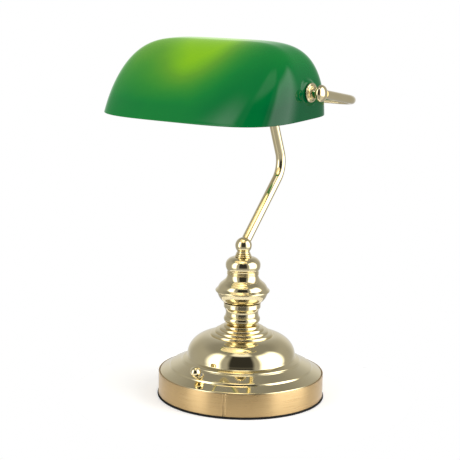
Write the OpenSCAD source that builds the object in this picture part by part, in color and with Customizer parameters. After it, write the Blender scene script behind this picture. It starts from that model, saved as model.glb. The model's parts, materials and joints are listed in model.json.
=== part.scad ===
// Banker desk lamp: weighted brass base with a toggle switch, turned column, bent stem,
// U-shaped yoke and a cased-glass shade that tilts on two hollow spindles.
// Millimetres, +Z up, origin at the centre of the underside, front towards -Y.

/* [Base] */
// Outer radius of the brushed band
base_r = 83.2; // [76:0.1:104]
// Thickness of the rubber foot pad
pad_h = 2; // [1:0.5:4]
// How far the pad stands proud of the band
pad_lip = 1; // [0:0.5:2]
// Height of the brushed band
band_h = 22.9; // [18:0.1:34]
// Wall of the band, of the cover and of the base plate
sheet_t = 1.2; // [0.8:0.1:2]
// Radius of the cover's outer step
step_r = 71.5; // [66:0.1:74]
// Radius of the cover's inner step
ledge_r = 59.3; // [57:0.1:64]
// Rise from the band to the outer step
step_h = 6.8; // [5:0.1:9]
// Rise from the outer step to the inner step
ledge_h = 6.5; // [5:0.1:9]
// Radius of the dome at its foot
dome_r = 54.3; // [48:0.1:56]
// Height of the dome
dome_h = 21; // [16:0.1:30]
// Radius where the dome meets its top rings
crown_r = 32; // [28:0.1:36]
// Number of small rings on top of the dome
crown_rings = 4; // [2:1:6]
// Rise of each small ring
crown_step_h = 2.75; // [1.5:0.05:4]
// Inward step of each small ring
crown_step_r = 4.4; // [2:0.1:5]
// Radius of the cast weight
weight_r = 46; // [30:1:50]
// Height of the cast weight
weight_h = 20.8; // [12:0.1:28]

/* [Column] */
// Radius of the hollow M10 tie tube, the stem tube and the spindles
rod_r = 5; // [4:0.5:6]
// Height of the lower vase
vase_h = 21.8; // [18:0.1:30]
// Largest radius of the lower vase
vase_r = 18.3; // [16:0.1:24]
// Height of the bowl
bowl_h = 22.6; // [18:0.1:30]
// Radius of the bowl at its sharp ring
bowl_r = 27.3; // [24:0.1:34]
// Height of the bell
bell_h = 6; // [4:0.1:10]
// Height of the double ring
ring_h = 3.6; // [3:0.1:6]
// Radius of the double ring
ring_r = 16; // [14:0.1:20]
// Height of the shoulder
shoulder_h = 14.4; // [12:0.1:20]
// Largest radius of the shoulder
shoulder_r = 17.5; // [16:0.1:22]
// Height of the ringed collar
collar_h = 6.2; // [5:0.1:9]
// Radius of the finial ball
finial_r = 8.3; // [7.5:0.1:12]

/* [Stem] */
// Backward lean of the lower leg, from vertical
lower_lean = 42.6; // [35:0.1:50]
// Length of the lower leg, from the ball's centre
lower_len = 82; // [60:0.5:110]
// Radius of the main bend
bend_r = 26; // [20:0.5:40]
// Forward lean of the upper leg, from vertical
upper_lean = 22; // [15:0.1:30]
// Length of the straight upper leg
upper_len = 28.5; // [15:0.5:50]
// Radius of the sweep into the yoke
sweep_r = 115; // [90:1:150]
// Forward lean where the stem meets the yoke
end_lean = 43; // [35:0.5:50]
// Wall of the brass tubes
tube_t = 1; // [0.6:0.1:1.4]

/* [Yoke] */
// Radius of the yoke tube
yoke_r = 4; // [3.5:0.1:4.8]
// Gap between the glass and the centre line of the back bar
bar_gap = 25.6; // [22:0.1:45]
// Radius of the yoke's two corners
yoke_bend_r = 28; // [16:0.5:36]
// Rise of the arms towards the front
yoke_rise = 9.3; // [4:0.1:14]
// Radius of the ball at the end of each arm
knob_r = 7.75; // [7:0.05:10]
// How far each ball stands out beside the yoke tube
knob_lip = 0.75; // [0.5:0.05:0.8]
// Gap between each ball and the rosette beside it
knob_gap = 2.3; // [2.2:0.1:2.6]

/* [Shade] */
// Half the length of the glass at its rim
shade_half = 103.9; // [90:0.1:124]
// Depth of the glass in front of the pivot
shade_front = 79.9; // [60:0.1:100]
// Depth of the glass behind the pivot
shade_back = 48.4; // [36:0.1:52]
// Height of the glass
shade_h = 68.4; // [60:0.1:90]
// Wall of the glass
glass_t = 3.5; // [3:0.1:5]
// Height of the pivot above the rim
pivot_h = 24.5; // [23.5:0.1:32]
// Forward tilt of the glass at rest
shade_tilt = 3.25; // [0:0.25:8]

/* [Bulb] */
// Radius of the bulb's glass ball
bulb_r = 22.5; // [20:0.5:23]
// Radius of the screw cap
cap_r = 13; // [12.8:0.1:13.2]

/* [Switch] */
// Angle of the switch round the base, from the front
switch_at = -2; // [-30:1:30]
// Radius at which the switch stands on the cover
switch_r = 67.3; // [66:0.1:68]
// Swing of the lever each way
switch_throw = 14; // [8:1:16]
// Radius of the ball on the lever
lever_ball_r = 5.3; // [4:0.1:5.5]
// Length of the lever, from its pin to the ball's centre
lever_len = 11.5; // [11:0.1:13]

/* [Hidden] */
$fn = 96;

bore_gap = 0.1; // round a fixed tube
run_gap = 0.06; // round a turning shaft
face_gap = 0.1; // between faces that turn on each other
eps = 0.01;
bend_skin = 0.02; // a bent stretch is drawn a little thinner than a straight one
bend_lap = 0.5; // and the straight one laps over it

// Heights up the lamp
plate_z = pad_h;
floor_z = plate_z + sheet_t;
band_top = pad_h + band_h;
cover_r = base_r - sheet_t - bore_gap;
step_z = band_top + step_h;
ledge_z = step_z + ledge_h;
dome_z = ledge_z + 3.8;
crown_z = dome_z + dome_h - 0.4;
cover_top = crown_z + 0.2 + crown_rings * crown_step_h;
vase_z = cover_top;
bowl_z = vase_z + vase_h;
bell_z = bowl_z + bowl_h;
ring_z = bell_z + bell_h;
shoulder_z = ring_z + ring_h;
collar_z = shoulder_z + shoulder_h;
ball_neck = rod_r + 1.3;
ball_sink = sqrt(finial_r * finial_r - ball_neck * ball_neck);
ball_z = collar_z + collar_h + ball_sink;

// Nut under the dished centre of the base plate
dish_r = 15;
dish_h = 5.6;
nut_h = 4.6;
washer_t = 1.2;
rod_wall = 1.4;
rod_foot_z = pad_h + 0.5;
rod_top_z = ball_z - 3.5;

// Stem centre line in the plane x = 0, as points [y, z]
function along(p, a, d) = [p[0] + d * sin(a), p[1] + d * cos(a)];
socket_depth = 4.6;
stem_a = [0, ball_z];
stem_b = along(stem_a, lower_lean, lower_len);
bend_c = along(stem_b, lower_lean - 90, bend_r);
stem_c = along(bend_c, 90 - upper_lean, bend_r);
stem_d = along(stem_c, -upper_lean, upper_len);
sweep_c = along(stem_d, -upper_lean - 90, sweep_r);
tee_at = along(sweep_c, 90 - end_lean, sweep_r);
tee_depth = 6;
sweep_end = end_lean - tee_depth / sweep_r * 180 / PI;

// Pivot of the shade
arm_len = shade_back + bar_gap;
pivot_y = tee_at[0] - arm_len * cos(yoke_rise);
pivot_z = tee_at[1] + arm_len * sin(yoke_rise);

// Glass shade: each level is a squared oval, narrower towards the top
plan_power = 3.8;
end_power = [2.24, 5.7];
front_power = [1.066, 1.717];
back_power = [2.6, 3.74];
shade_sides = 60;
shade_levels = 12;
function narrow(size, u, p) = size * pow(max(1 - pow(u, p[0]), 0), 1 / p[1]);
function squared(c) = sign(c) * pow(abs(c), 2 / plan_power);
function shade_level(inset, u) = [for (i = [0:shade_sides - 1])
    let (
        t = 360 * (i + 0.5) / shade_sides,
        depth = sin(t) < 0 ? narrow(shade_front - inset, u, front_power)
            : narrow(shade_back - inset, u, back_power)
    )
    [narrow(shade_half - inset, u, end_power) * squared(cos(t)), depth * squared(sin(t)),
        (shade_h - inset) * u]];

// Stack along each spindle, measured from the lamp's middle plane
seat_out = narrow(shade_half, pivot_h / shade_h, end_power) + 0.3;
seat_in = seat_out - glass_t - 0.9;
hole_r = rod_r + 1.1;
gasket_t = 0.8;
gasket_r = hole_r + 2.3;
rosette_x = seat_out + gasket_t + face_gap;
rosette_r = gasket_r + 0.6;
rosette_t = 2.2;
seat_r = rosette_r + 1;
boss_r = rod_r + 1.2;
boss_h = 2.2;
knob_w = 2 * (yoke_r + knob_lip);
knob_in = rosette_x + rosette_t + boss_h + knob_gap;
yoke_half = knob_in + knob_w / 2;
spindle_grip = 2.6; // how far each spindle goes into its ball
washer_x = seat_in - gasket_t - face_gap;
spindle_nut_h = 3.5;
nut_x = washer_x - washer_t;
stack_x = nut_x - spindle_nut_h;

// Lampholder and bulb, along -X from the right spindle
holder_x = stack_x - 0.4;
holder_cap_l = 19;
holder_r = cap_r + 6.5;
core_l = 6;
skirt_x = holder_x - holder_cap_l;
skirt_l = 26;
bulb_tip_x = skirt_x - 0.5;
bulb_neck_x = bulb_tip_x - 24;
bulb_x = bulb_neck_x - bulb_r - 7.5;

// Switch on the sloping tread between the two steps of the cover
tread_in_r = ledge_r + 0.9;
tread_in_z = ledge_z - 2;
switch_lean = atan2(tread_in_z - step_z, step_r - tread_in_r);
switch_z = step_z + (step_r - switch_r) * tan(switch_lean);
pin_depth = 4.5;
lever_r = 1.3;
pin_r = 0.75;
bush_r = 3.8;
body_top = sheet_t + 1.2;

// Cable inlet at the back of the band
inlet_z = pad_h + 11;
inlet_r = 3.5;
inlet_hole_r = 5.2;
flex_r = 2;

brass = [0.80, 0.66, 0.36];
satin_brass = [0.84, 0.68, 0.44];
steel = [0.62, 0.63, 0.65];
black = [0.08, 0.08, 0.08];
ivory = [0.90, 0.88, 0.82];
green = [0.05, 0.45, 0.22];

// Points on an arc in a profile, as [radius, height]
function arc(c, r, from, to, n = 8) =
    [for (i = [0:n]) let (a = from + (to - from) * i / n) [c[0] + r[0] * cos(a), c[1] + r[1] * sin(a)]];

module turned(outline) {
    rotate_extrude() polygon(outline);
}

module tube(r, hole, h) {
    difference() {
        cylinder(r = r, h = h);
        translate([0, 0, -eps]) cylinder(r = hole, h = h + 2 * eps);
    }
}

// Places its children with local +Z along +X, starting at the distance x from the middle
module on_pivot(x, side = 1) {
    translate([0, pivot_y, pivot_z]) mirror([side < 0 ? 1 : 0, 0, 0]) translate([x, 0, 0]) rotate([0, 90, 0])
        children();
}

// ---- base ----

module foot_pad() {
    color(black) cylinder(r = base_r + pad_lip, h = pad_h);
}

module base_plate() {
    dish_z = plate_z + dish_h;
    color(steel) turned([
        [rod_r + bore_gap, dish_z + sheet_t], [rod_r + bore_gap, dish_z + 2 * sheet_t],
        [dish_r, dish_z + 2 * sheet_t], [dish_r + 3, floor_z], [cover_r, floor_z], [cover_r, plate_z],
        [dish_r + 2, plate_z], [dish_r - 1, dish_z + sheet_t]
    ]);
}

module base_weight() {
    pocket_z = plate_z + dish_h + 2 * sheet_t;
    top_z = floor_z + weight_h;
    color([0.25, 0.25, 0.26]) turned([
        [rod_r + 0.3, pocket_z], [rod_r + 0.3, top_z], [weight_r - 2, top_z], [weight_r, top_z - 2],
        [weight_r, floor_z], [dish_r + 4, floor_z], [dish_r + 1, pocket_z]
    ]);
}

// Wrapped strip with a butt seam near the front
module base_band() {
    seam_at = 25;
    seam_w = 0.4;
    lip = 0.5;
    color(satin_brass) difference() {
        turned(concat(
            [[base_r - sheet_t, plate_z], [base_r, plate_z]],
            arc([base_r - lip, band_top - lip], [lip, lip], 0, 180, 8),
            [[base_r - sheet_t, band_top - sheet_t]]
        ));
        rotate([0, 0, seam_at]) translate([-seam_w / 2, -base_r - 1, plate_z - 1])
            cube([seam_w, 1 + sheet_t / 3, band_h + 2]);
        translate([0, base_r - 4 * sheet_t, inlet_z]) rotate([-90, 0, 0])
            cylinder(r = inlet_hole_r, h = 6 * sheet_t);
    }
}

// Outline of the spun cover, from its skirt up to the hole in its crown
function crown_outline(t) = [for (i = [0:crown_rings - 1])
    let (r = crown_r - 0.5 - i * crown_step_r, z = crown_z + 0.2 + i * crown_step_h)
    each [[r - t, z - t], [r - 0.5 - t, z + 1.7 - t], [r - 1.3 - t, z + 2.2 - t],
        [r - crown_step_r + 0.5 - t, z + crown_step_h - t]]];
function cover_outline(t) = concat(
    [[cover_r - t, floor_z], [cover_r - t, band_top - 0.9 - t], [cover_r - 0.5 - t, band_top - 0.4 - t],
        [step_r + 1.6 - t, step_z - 2.4 - t], [step_r + 0.5 - t, step_z - 1.2 - t],
        [step_r - t, step_z - t], [step_r - 0.9 - t, step_z + 0.4 - t],
        [tread_in_r + 0.6 - t, tread_in_z - t], [tread_in_r - t, tread_in_z + 0.8 - t],
        [ledge_r - t, ledge_z - t], [ledge_r - 0.9 - t, ledge_z + 0.5 - t],
        [dome_r + 0.9 - t, dome_z - 2.2 - t], [dome_r + 0.1 - t, dome_z - 1.4 - t]],
    arc([crown_r - 2 - t, dome_z - t], [dome_r - crown_r + 2, dome_h], 0, 84, 12),
    crown_outline(t)
);

module base_cover() {
    hole_edge = rod_r + bore_gap;
    outer = cover_outline(0);
    inner = cover_outline(sheet_t);
    color(brass) difference() {
        turned(concat(
            outer,
            [[hole_edge, cover_top], [hole_edge, cover_top - sheet_t]],
            [for (i = [len(inner) - 1:-1:0]) inner[i]]
        ));
        on_switch() translate([0, 0, -3 * sheet_t]) cylinder(r = bush_r + bore_gap, h = 6 * sheet_t);
        translate([0, base_r - 5 * sheet_t, inlet_z]) rotate([-90, 0, 0])
            cylinder(r = inlet_hole_r, h = 6 * sheet_t);
    }
}

module tie_tube() {
    color(steel) translate([0, 0, rod_foot_z]) tube(rod_r, rod_r - rod_wall, rod_top_z - rod_foot_z);
}

module hex_nut(h) {
    difference() {
        cylinder(r = rod_r * 1.66, h = h, $fn = 6);
        translate([0, 0, -eps]) cylinder(r = rod_r, h = h + 2 * eps);
    }
}

module tie_nut() {
    z = plate_z + dish_h + sheet_t - washer_t - nut_h;
    color(steel) translate([0, 0, z]) hex_nut(nut_h);
}

module tie_washer() {
    z = plate_z + dish_h + sheet_t - washer_t;
    color(steel) translate([0, 0, z]) tube(rod_r * 2, rod_r + bore_gap, washer_t);
}

module spacer_sleeve() {
    z = floor_z + weight_h;
    color(steel) translate([0, 0, z]) tube(rod_r + 2.5, rod_r + bore_gap, cover_top - sheet_t - z);
}

// ---- column, each piece threaded on the tie tube ----

module column_piece(z, h, outline) {
    hole = rod_r + bore_gap;
    color(brass) translate([0, 0, z]) turned(concat(outline, [[hole, h], [hole, 0]]));
}

module column_vase() {
    foot_r = vase_r - 4.7;
    neck_r = vase_r - 1.9;
    column_piece(vase_z, vase_h, concat(
        [[foot_r, 0], [foot_r, 1.3]],
        arc([vase_r - 4, 5.2], [4, 3.9], -85, 58, 10),
        [[neck_r + 0.5, 9.3], [neck_r + 0.1, 9.7]],
        arc([neck_r + 10, 12], [10, vase_h - 13.2], 180, 142, 6),
        [[vase_r + 0.2, vase_h - 0.8], [vase_r + 0.5, vase_h]]
    ));
}

module column_bowl() {
    edge_z = 12.5;
    lower_r = bowl_r - 1.4;
    top_r = 18.8;
    column_piece(bowl_z, bowl_h, concat(
        arc([vase_r - 3.2, edge_z + 3], [lower_r - vase_r + 3.2, edge_z + 3], -72, -16, 8),
        [[bowl_r - 0.4, edge_z - 1]],
        arc([bowl_r - 0.9, edge_z], [0.9, 0.9], -50, 50, 4),
        [[lower_r, edge_z + 1.9], [bowl_r - 2.1, edge_z + 2.5]],
        arc([top_r - 3, edge_z - 0.8], [bowl_r - top_r + 1.1, bowl_h - edge_z + 0.6], 22, 62, 6),
        [[top_r + 0.6, bowl_h - 0.6], [top_r - 0.1, bowl_h]]
    ));
}

module column_bell() {
    flare = [14, bell_h + 5];
    over = 0.8;
    column_piece(bell_z, bell_h, arc([ring_r - 0.5 + flare[0], bell_h + over], flare,
        180 + asin((bell_h + over) / flare[1]), 180 + asin(over / flare[1]), 6));
}

module column_ring() {
    bead = ring_h / 4;
    groove_r = ring_r - 0.6;
    column_piece(ring_z, ring_h, concat(
        [[groove_r, 0]],
        arc([ring_r - bead, bead], [bead, bead * 0.8], -80, 80, 6),
        [[groove_r, ring_h / 2]],
        arc([ring_r - bead, ring_h - bead], [bead, bead * 0.8], -80, 80, 6),
        [[groove_r, ring_h]]
    ));
}

module column_shoulder() {
    widest = 6.2;
    crest_r = ball_neck + 1.9;
    column_piece(shoulder_z, shoulder_h, concat(
        [[ring_r - 0.6, 0]],
        arc([shoulder_r - 4, widest], [4, widest], -56, 0, 5),
        arc([crest_r, widest + 0.4], [shoulder_r - crest_r, shoulder_h - widest - 0.4], 6, 84, 9),
        [[crest_r + 1, shoulder_h]]
    ));
}

module column_collar() {
    neck_h = 1.3;
    beads = 3;
    bead_h = (collar_h - neck_h) / beads;
    narrowing = 0.7;
    foot_r = ball_neck + 1.2;
    column_piece(collar_z, collar_h, concat(
        [for (i = [0:beads - 1]) each concat(
            [[foot_r - narrowing * i, bead_h * i]],
            arc([foot_r + 0.1 - narrowing * i, bead_h * (i + 0.5)], [0.9, bead_h / 2.3], -80, 80, 6))],
        [[ball_neck - 0.1, collar_h - neck_h], [ball_neck, collar_h]]
    ));
}

module finial_ball() {
    color(brass) difference() {
        translate([0, 0, ball_z]) sphere(r = finial_r);
        translate([0, 0, ball_z - ball_sink - 10]) cylinder(r = finial_r + 1, h = 10);
        translate([0, 0, ball_z - finial_r]) cylinder(r = rod_r, h = finial_r);
        translate([0, 0, ball_z]) rotate([-lower_lean, 0, 0]) translate([0, 0, socket_depth])
            cylinder(r = rod_r, h = finial_r);
        translate([0, 0, ball_z]) sphere(r = rod_r);
    }
}

// ---- stem and yoke ----

// Cross-section of a tube, or of a solid rod where hole is 0
module section(r, hole) {
    difference() {
        circle(r = r);
        if (hole > 0) circle(r = hole);
    }
}

// A straight run up +Z in the plane x = 0, from p, leaning a degrees back, d long
module leg(p, a, d, r, hole = 0) {
    translate([0, p[0], p[1]]) rotate([-a, 0, 0]) linear_extrude(d) section(r, hole);
}

// A bend that starts up +Z and turns towards -Y; its children stand on its end
module bend(big, turn, r, hole) {
    thin = r - bend_skin;
    wide = hole > 0 ? hole + bend_skin : 0;
    translate([0, -big, 0]) {
        rotate([90, 0, 90]) rotate_extrude(angle = turn) translate([big, 0]) section(thin, wide);
        rotate([turn, 0, 0]) translate([0, big, 0]) children();
    }
}

module stem_run(r, hole, start) {
    translate([0, 0, ball_z]) rotate([-lower_lean, 0, 0]) {
        translate([0, 0, start]) linear_extrude(lower_len - start + bend_lap) section(r, hole);
        translate([0, 0, lower_len]) bend(bend_r, lower_lean + upper_lean, r, hole) {
            translate([0, 0, -bend_lap]) linear_extrude(upper_len + 2 * bend_lap) section(r, hole);
            translate([0, 0, upper_len]) bend(sweep_r, sweep_end - upper_lean, r, hole);
        }
    }
}

module stem_tube() {
    color(brass) stem_run(rod_r, rod_r - tube_t, socket_depth);
}

// Frame of the yoke: origin at the pivot, +Y towards the back bar
module in_yoke() {
    translate([0, pivot_y, pivot_z]) rotate([-yoke_rise, 0, 0]) children();
}

arm_start = knob_r - 1.8;

module yoke_run(r, hole, sides, start) {
    bar_half = yoke_half - yoke_bend_r;
    for (s = sides) mirror([s < 0 ? 1 : 0, 0, 0]) {
        translate([yoke_half, start, 0]) rotate([-90, 0, 0])
            linear_extrude(arm_len - yoke_bend_r - start) section(r, hole);
        translate([bar_half, arm_len - yoke_bend_r, 0]) rotate_extrude(angle = 90)
            translate([yoke_bend_r, 0]) section(r, hole);
        translate([0, arm_len, 0]) rotate([0, 90, 0]) linear_extrude(bar_half) section(r, hole);
    }
}

module yoke_tube() {
    inner_r = yoke_r - tube_t;
    color(brass) difference() {
        in_yoke() yoke_run(yoke_r, inner_r, [-1, 1], arm_start);
        leg(along(tee_at, 180 - end_lean, 2 * yoke_r), -end_lean, 2 * yoke_r, inner_r - 0.4);
    }
}

module yoke_tee() {
    half_w = 10;
    wall = 2.6;
    reach = 13;
    end_round = 1;
    color(brass) difference() {
        union() {
            in_yoke() translate([-half_w, arm_len, 0]) rotate([0, 90, 0])
                turned(concat([[0, 0]],
                    arc([yoke_r + wall - end_round, end_round], [end_round, end_round], -90, 0, 4),
                    arc([yoke_r + wall - end_round, 2 * half_w - end_round], [end_round, end_round], 0, 90, 4),
                    [[0, 2 * half_w]]));
            leg(along(tee_at, 180 - end_lean, reach), -end_lean, reach, rod_r + 1.6);
        }
        in_yoke() translate([-half_w - 1, arm_len, 0]) rotate([0, 90, 0])
            cylinder(r = yoke_r, h = 2 * half_w + 2);
        stem_run(rod_r + bore_gap, 0, lower_len);
        leg(along(tee_at, 180 - end_lean, reach), -end_lean, reach, yoke_r - tube_t - 0.4);
    }
}

module yoke_knob(side) {
    color(brass) difference() {
        on_pivot(yoke_half, side)
            turned(arc([0, 0], [knob_r, knob_w / 2], -90, 90, 24));
        on_pivot(knob_in - 1, side) cylinder(r = rod_r, h = 1 + spindle_grip);
        on_pivot(yoke_half, side) sphere(r = yoke_r - tube_t);
        in_yoke() translate([side * yoke_half, arm_start, 0]) rotate([-90, 0, 0])
            cylinder(r = yoke_r, h = knob_r);
        in_yoke() translate([side * yoke_half, 0, 0]) rotate([-90, 0, 0])
            cylinder(r = yoke_r - tube_t - bend_skin, h = knob_r);
    }
}

// ---- pivots ----

module spindle(side, inner_x) {
    color(brass) on_pivot(inner_x, side) tube(rod_r, rod_r - rod_wall, knob_in + spindle_grip - inner_x);
}

// Stepped brass rosette that holds the glass from outside
module rosette(side) {
    color(brass) on_pivot(rosette_x, side) turned(concat(
        [[rod_r, 0], [rosette_r - 1.5, 0]],
        arc([rosette_r - 0.8, rosette_t * 0.45], [0.8, rosette_t * 0.45], -60, 90, 6),
        [[rosette_r - 1.7, rosette_t]],
        arc([boss_r - 0.6, rosette_t + boss_h - 0.6], [0.6, 0.6], 0, 90, 4),
        [[rod_r, rosette_t + boss_h]]
    ));
}

// Rubber sleeve with two flanges, which turns with the glass
module gasket(side) {
    color(black) on_pivot(seat_in - gasket_t, side) turned([
        [rod_r + run_gap, 0], [gasket_r, 0], [gasket_r, gasket_t], [hole_r - bore_gap, gasket_t],
        [hole_r - bore_gap, gasket_t + seat_out - seat_in], [gasket_r, gasket_t + seat_out - seat_in],
        [gasket_r, 2 * gasket_t + seat_out - seat_in], [rod_r + run_gap, 2 * gasket_t + seat_out - seat_in]
    ]);
}

module pivot_washer(side) {
    color(steel) on_pivot(nut_x, side) tube(gasket_r, rod_r + bore_gap, washer_t);
}

module pivot_nut(side) {
    color(brass) on_pivot(stack_x, side) hex_nut(spindle_nut_h);
}

// Domed cap nut on the inner end of the left spindle
module spindle_cap() {
    cap_l = 8;
    dome = rod_r + 2.4;
    color(brass) on_pivot(stack_x - cap_l, -1) turned(concat(
        [[0, 2.4], [0, 0]],
        arc([0, dome], [dome, dome], -84, 0, 8),
        [[dome, cap_l], [rod_r, cap_l], [rod_r, 2.4]]
    ));
}

module shade() {
    outer = [for (k = [0:shade_levels - 1]) shade_level(0, sin(90 * k / shade_levels))];
    inner = [for (k = [0:shade_levels - 1]) shade_level(glass_t, sin(90 * k / shade_levels))];
    n = shade_sides;
    rows = shade_levels;
    points = concat([for (row = outer) each row], [[0, 0, shade_h]],
        [for (row = inner) each row], [[0, 0, shade_h - glass_t]]);
    inside = n * rows + 1;
    faces = concat(
        [for (k = [0:rows - 2]) for (i = [0:n - 1]) let (a = k * n + i, b = k * n + (i + 1) % n)
            each [[a, a + n, b + n], [a, b + n, b]]],
        [for (i = [0:n - 1]) let (top = (rows - 1) * n) [top + i, n * rows, top + (i + 1) % n]],
        [for (k = [0:rows - 2]) for (i = [0:n - 1])
            let (a = inside + k * n + i, b = inside + k * n + (i + 1) % n)
            each [[a, b + n, a + n], [a, b, b + n]]],
        [for (i = [0:n - 1]) let (top = inside + (rows - 1) * n)
            [top + i, top + (i + 1) % n, inside + n * rows]],
        [for (i = [0:n - 1]) let (j = (i + 1) % n) each [[i, j, inside + j], [i, inside + j, inside + i]]]
    );
    color(green) difference() {
        union() {
            translate([0, pivot_y, pivot_z]) rotate([shade_tilt, 0, 0]) translate([0, 0, -pivot_h])
                polyhedron(points, faces);
            for (s = [-1, 1]) on_pivot(seat_in, s) cylinder(r = seat_r, h = seat_out - seat_in);
        }
        for (s = [-1, 1]) on_pivot(seat_in - 8, s) cylinder(r = hole_r, h = 20);
        for (s = [-1, 1]) on_pivot(seat_out, s) cylinder(r = seat_r, h = 8);
        for (s = [-1, 1]) on_pivot(seat_in - 5, s) cylinder(r = seat_r, h = 5);
    }
}

// ---- lampholder and bulb ----

module on_holder(x) {
    on_pivot(x, 1) rotate([180, 0, 0]) children();
}

module holder_cap() {
    entry = 10;
    neck_r = 11;
    wall = 2;
    color(ivory) on_holder(holder_x) turned([
        [rod_r, 0], [neck_r - 1, 0], [neck_r, 1], [neck_r, 4], [holder_r - 1.5, entry],
        [holder_r - 0.5, holder_cap_l - 2], [holder_r - 0.5, holder_cap_l], [holder_r - wall - 0.5, holder_cap_l],
        [holder_r - wall - 0.5, entry + 1.6], [neck_r, entry], [rod_r, entry]
    ]);
}

module holder_core() {
    color("white") on_holder(skirt_x + core_l) difference() {
        cylinder(r = holder_r - 3, h = core_l);
        for (s = [-1, 1]) translate([s * 11, 0, -eps]) cylinder(r = 2, h = core_l + 2 * eps);
        translate([0, 0, -eps]) cylinder(r = 2, h = core_l + 2 * eps);
    }
}

module holder_contacts() {
    color(brass) on_holder(skirt_x + core_l + 2) {
        cylinder(r = 1.9, h = core_l + 2);
        for (s = [-1, 1]) translate([s * 11, 0, 0]) cylinder(r = 1.9, h = core_l + 2);
    }
}

module holder_skirt() {
    bead = 0.8;
    shell_r = cap_r + 0.5;
    color(ivory) on_holder(skirt_x) turned(concat(
        [[shell_r, 0.3], [holder_r, 0.3]],
        [for (i = [0:3]) each arc([holder_r, 4 + 4 * i], [bead, bead], -90, 90, 4)],
        [[holder_r, skirt_l - 6], [holder_r - 2.5, skirt_l - 3], [holder_r - 2.5, skirt_l],
            [shell_r + 1, skirt_l], [shell_r, skirt_l - 1]]
    ));
}

module bulb_cap() {
    turns = 5;
    pitch = 3.6;
    groove = 0.45;
    color(steel) on_holder(bulb_tip_x - 2) turned(concat(
        [[cap_r - 3, 0], [cap_r - 1, 0.4]],
        [for (i = [0:turns - 1]) each [[cap_r - groove, 1.4 + pitch * i],
            [cap_r, 1.4 + pitch * (i + 0.3)], [cap_r, 1.4 + pitch * (i + 0.6)]]],
        [[cap_r - 0.2, 21], [cap_r - 1, 21], [cap_r - 1.6, 1.6], [cap_r - 3, 1]]
    ));
}

module bulb_contact() {
    color(black) on_holder(bulb_tip_x - 0.6) turned([
        [0, 0], [4, 0], [cap_r - 3.2, 1.6], [cap_r - 3.2, 3.4], [0, 3.4]
    ]);
}

module bulb_glass() {
    wall = 1;
    neck_r = cap_r - 2;
    function skin(t) = concat(
        [[neck_r - t, -7], [neck_r - t, 0], [neck_r + 0.3 - t, 4], [neck_r + 2.6 - t, 11]],
        arc([0, bulb_neck_x - bulb_x], [bulb_r - t, bulb_r - t], -42, 90, 20)
    );
    outer = skin(0);
    inner = skin(wall);
    color(ivory) on_holder(bulb_neck_x) turned(concat(
        outer, [for (i = [len(inner) - 1:-1:0]) inner[i]]
    ));
}

// ---- switch ----

// Local +Z stands square on the cover's tread, from its surface
module on_switch() {
    rotate([0, 0, switch_at]) translate([0, -switch_r, switch_z]) rotate([switch_lean, 0, 0]) children();
}

module on_lever() {
    on_switch() translate([0, 0, -pin_depth]) rotate([switch_throw, 0, 0]) children();
}

module switch_body() {
    w = 13;
    d = 8.4;
    h = 14;
    leg_h = 3.5;
    color([0.15, 0.2, 0.35]) on_switch() difference() {
        union() {
            translate([-w / 2, -d / 2, -body_top - h]) cube([w, d, h]);
            for (x = [-4, 0, 4]) translate([x - 0.6, -1.2, -body_top - h - leg_h]) cube([1.2, 2.4, leg_h + 1]);
        }
        translate([0, 0, -body_top - 7]) cylinder(r = bush_r, h = 8);
    }
}

module switch_bush() {
    throat_r = 2.4;
    mouth_r = 2.9;
    top = 1.2;
    bottom = -body_top - 7;
    color(steel) on_switch() difference() {
        translate([0, 0, bottom]) cylinder(r = bush_r, h = top - bottom);
        translate([0, 0, -pin_depth]) cylinder(r1 = throat_r, r2 = mouth_r, h = pin_depth + top);
        translate([0, 0, bottom + 1]) cylinder(r = throat_r, h = 4);
        translate([0, 0, -pin_depth]) rotate([0, 90, 0]) cylinder(r = pin_r, h = 4 * bush_r, center = true);
    }
}

module switch_nut() {
    color(brass) on_switch() translate([0, 0, 0.3]) tube(bush_r + 1.2, bush_r, 0.9);
}

module switch_pin() {
    half = bush_r - 0.3;
    color(steel) on_switch() translate([-half, 0, -pin_depth]) rotate([0, 90, 0])
        cylinder(r = pin_r, h = 2 * half);
}

module switch_lever() {
    hub = 1.8;
    color(brass) on_lever() difference() {
        union() {
            cylinder(r = lever_r, h = lever_len - lever_ball_r + 1.5);
            translate([-1.2, 0, 0]) rotate([0, 90, 0]) cylinder(r = hub, h = 2.4);
        }
        translate([-3, 0, 0]) rotate([0, 90, 0]) cylinder(r = pin_r + run_gap, h = 6);
    }
}

module lever_ball() {
    color(brass) on_lever() difference() {
        translate([0, 0, lever_len]) sphere(r = lever_ball_r);
        translate([0, 0, lever_len - lever_ball_r - 1]) cylinder(r = lever_r, h = 2.5);
    }
}

// ---- wiring ----

module cord_grommet() {
    flange_r = inlet_hole_r + 1.8;
    neck_r = inlet_hole_r - bore_gap;
    flange_t = 1.8;
    inside_y = base_r - 2 * sheet_t - bore_gap - 0.45;
    outside_y = base_r + 0.05;
    neck_l = outside_y - inside_y;
    color(black) translate([0, inside_y - flange_t, inlet_z]) rotate([-90, 0, 0]) turned([
        [inlet_r, 0], [flange_r, 0], [flange_r, flange_t], [neck_r, flange_t],
        [neck_r, flange_t + neck_l], [flange_r, flange_t + neck_l], [flange_r - 0.8, 2 * flange_t + neck_l],
        [inlet_r, 2 * flange_t + neck_l]
    ]);
}

module terminal_block() {
    size = [24, 12, 9];
    post = 3;
    y = (weight_r + cover_r - sheet_t) / 2 - size[1] / 2;
    color(ivory) translate([-size[0] / 2, y, floor_z]) difference() {
        union() {
            cube(size);
            for (i = [0:1]) translate([6 + 12 * i, size[1] / 2, size[2]]) cylinder(r = post, h = 2);
        }
        for (i = [0:1]) translate([6 + 12 * i, -1, size[2] / 2]) rotate([-90, 0, 0])
            cylinder(r = 1.6, h = size[1] + 2);
    }
}

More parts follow.
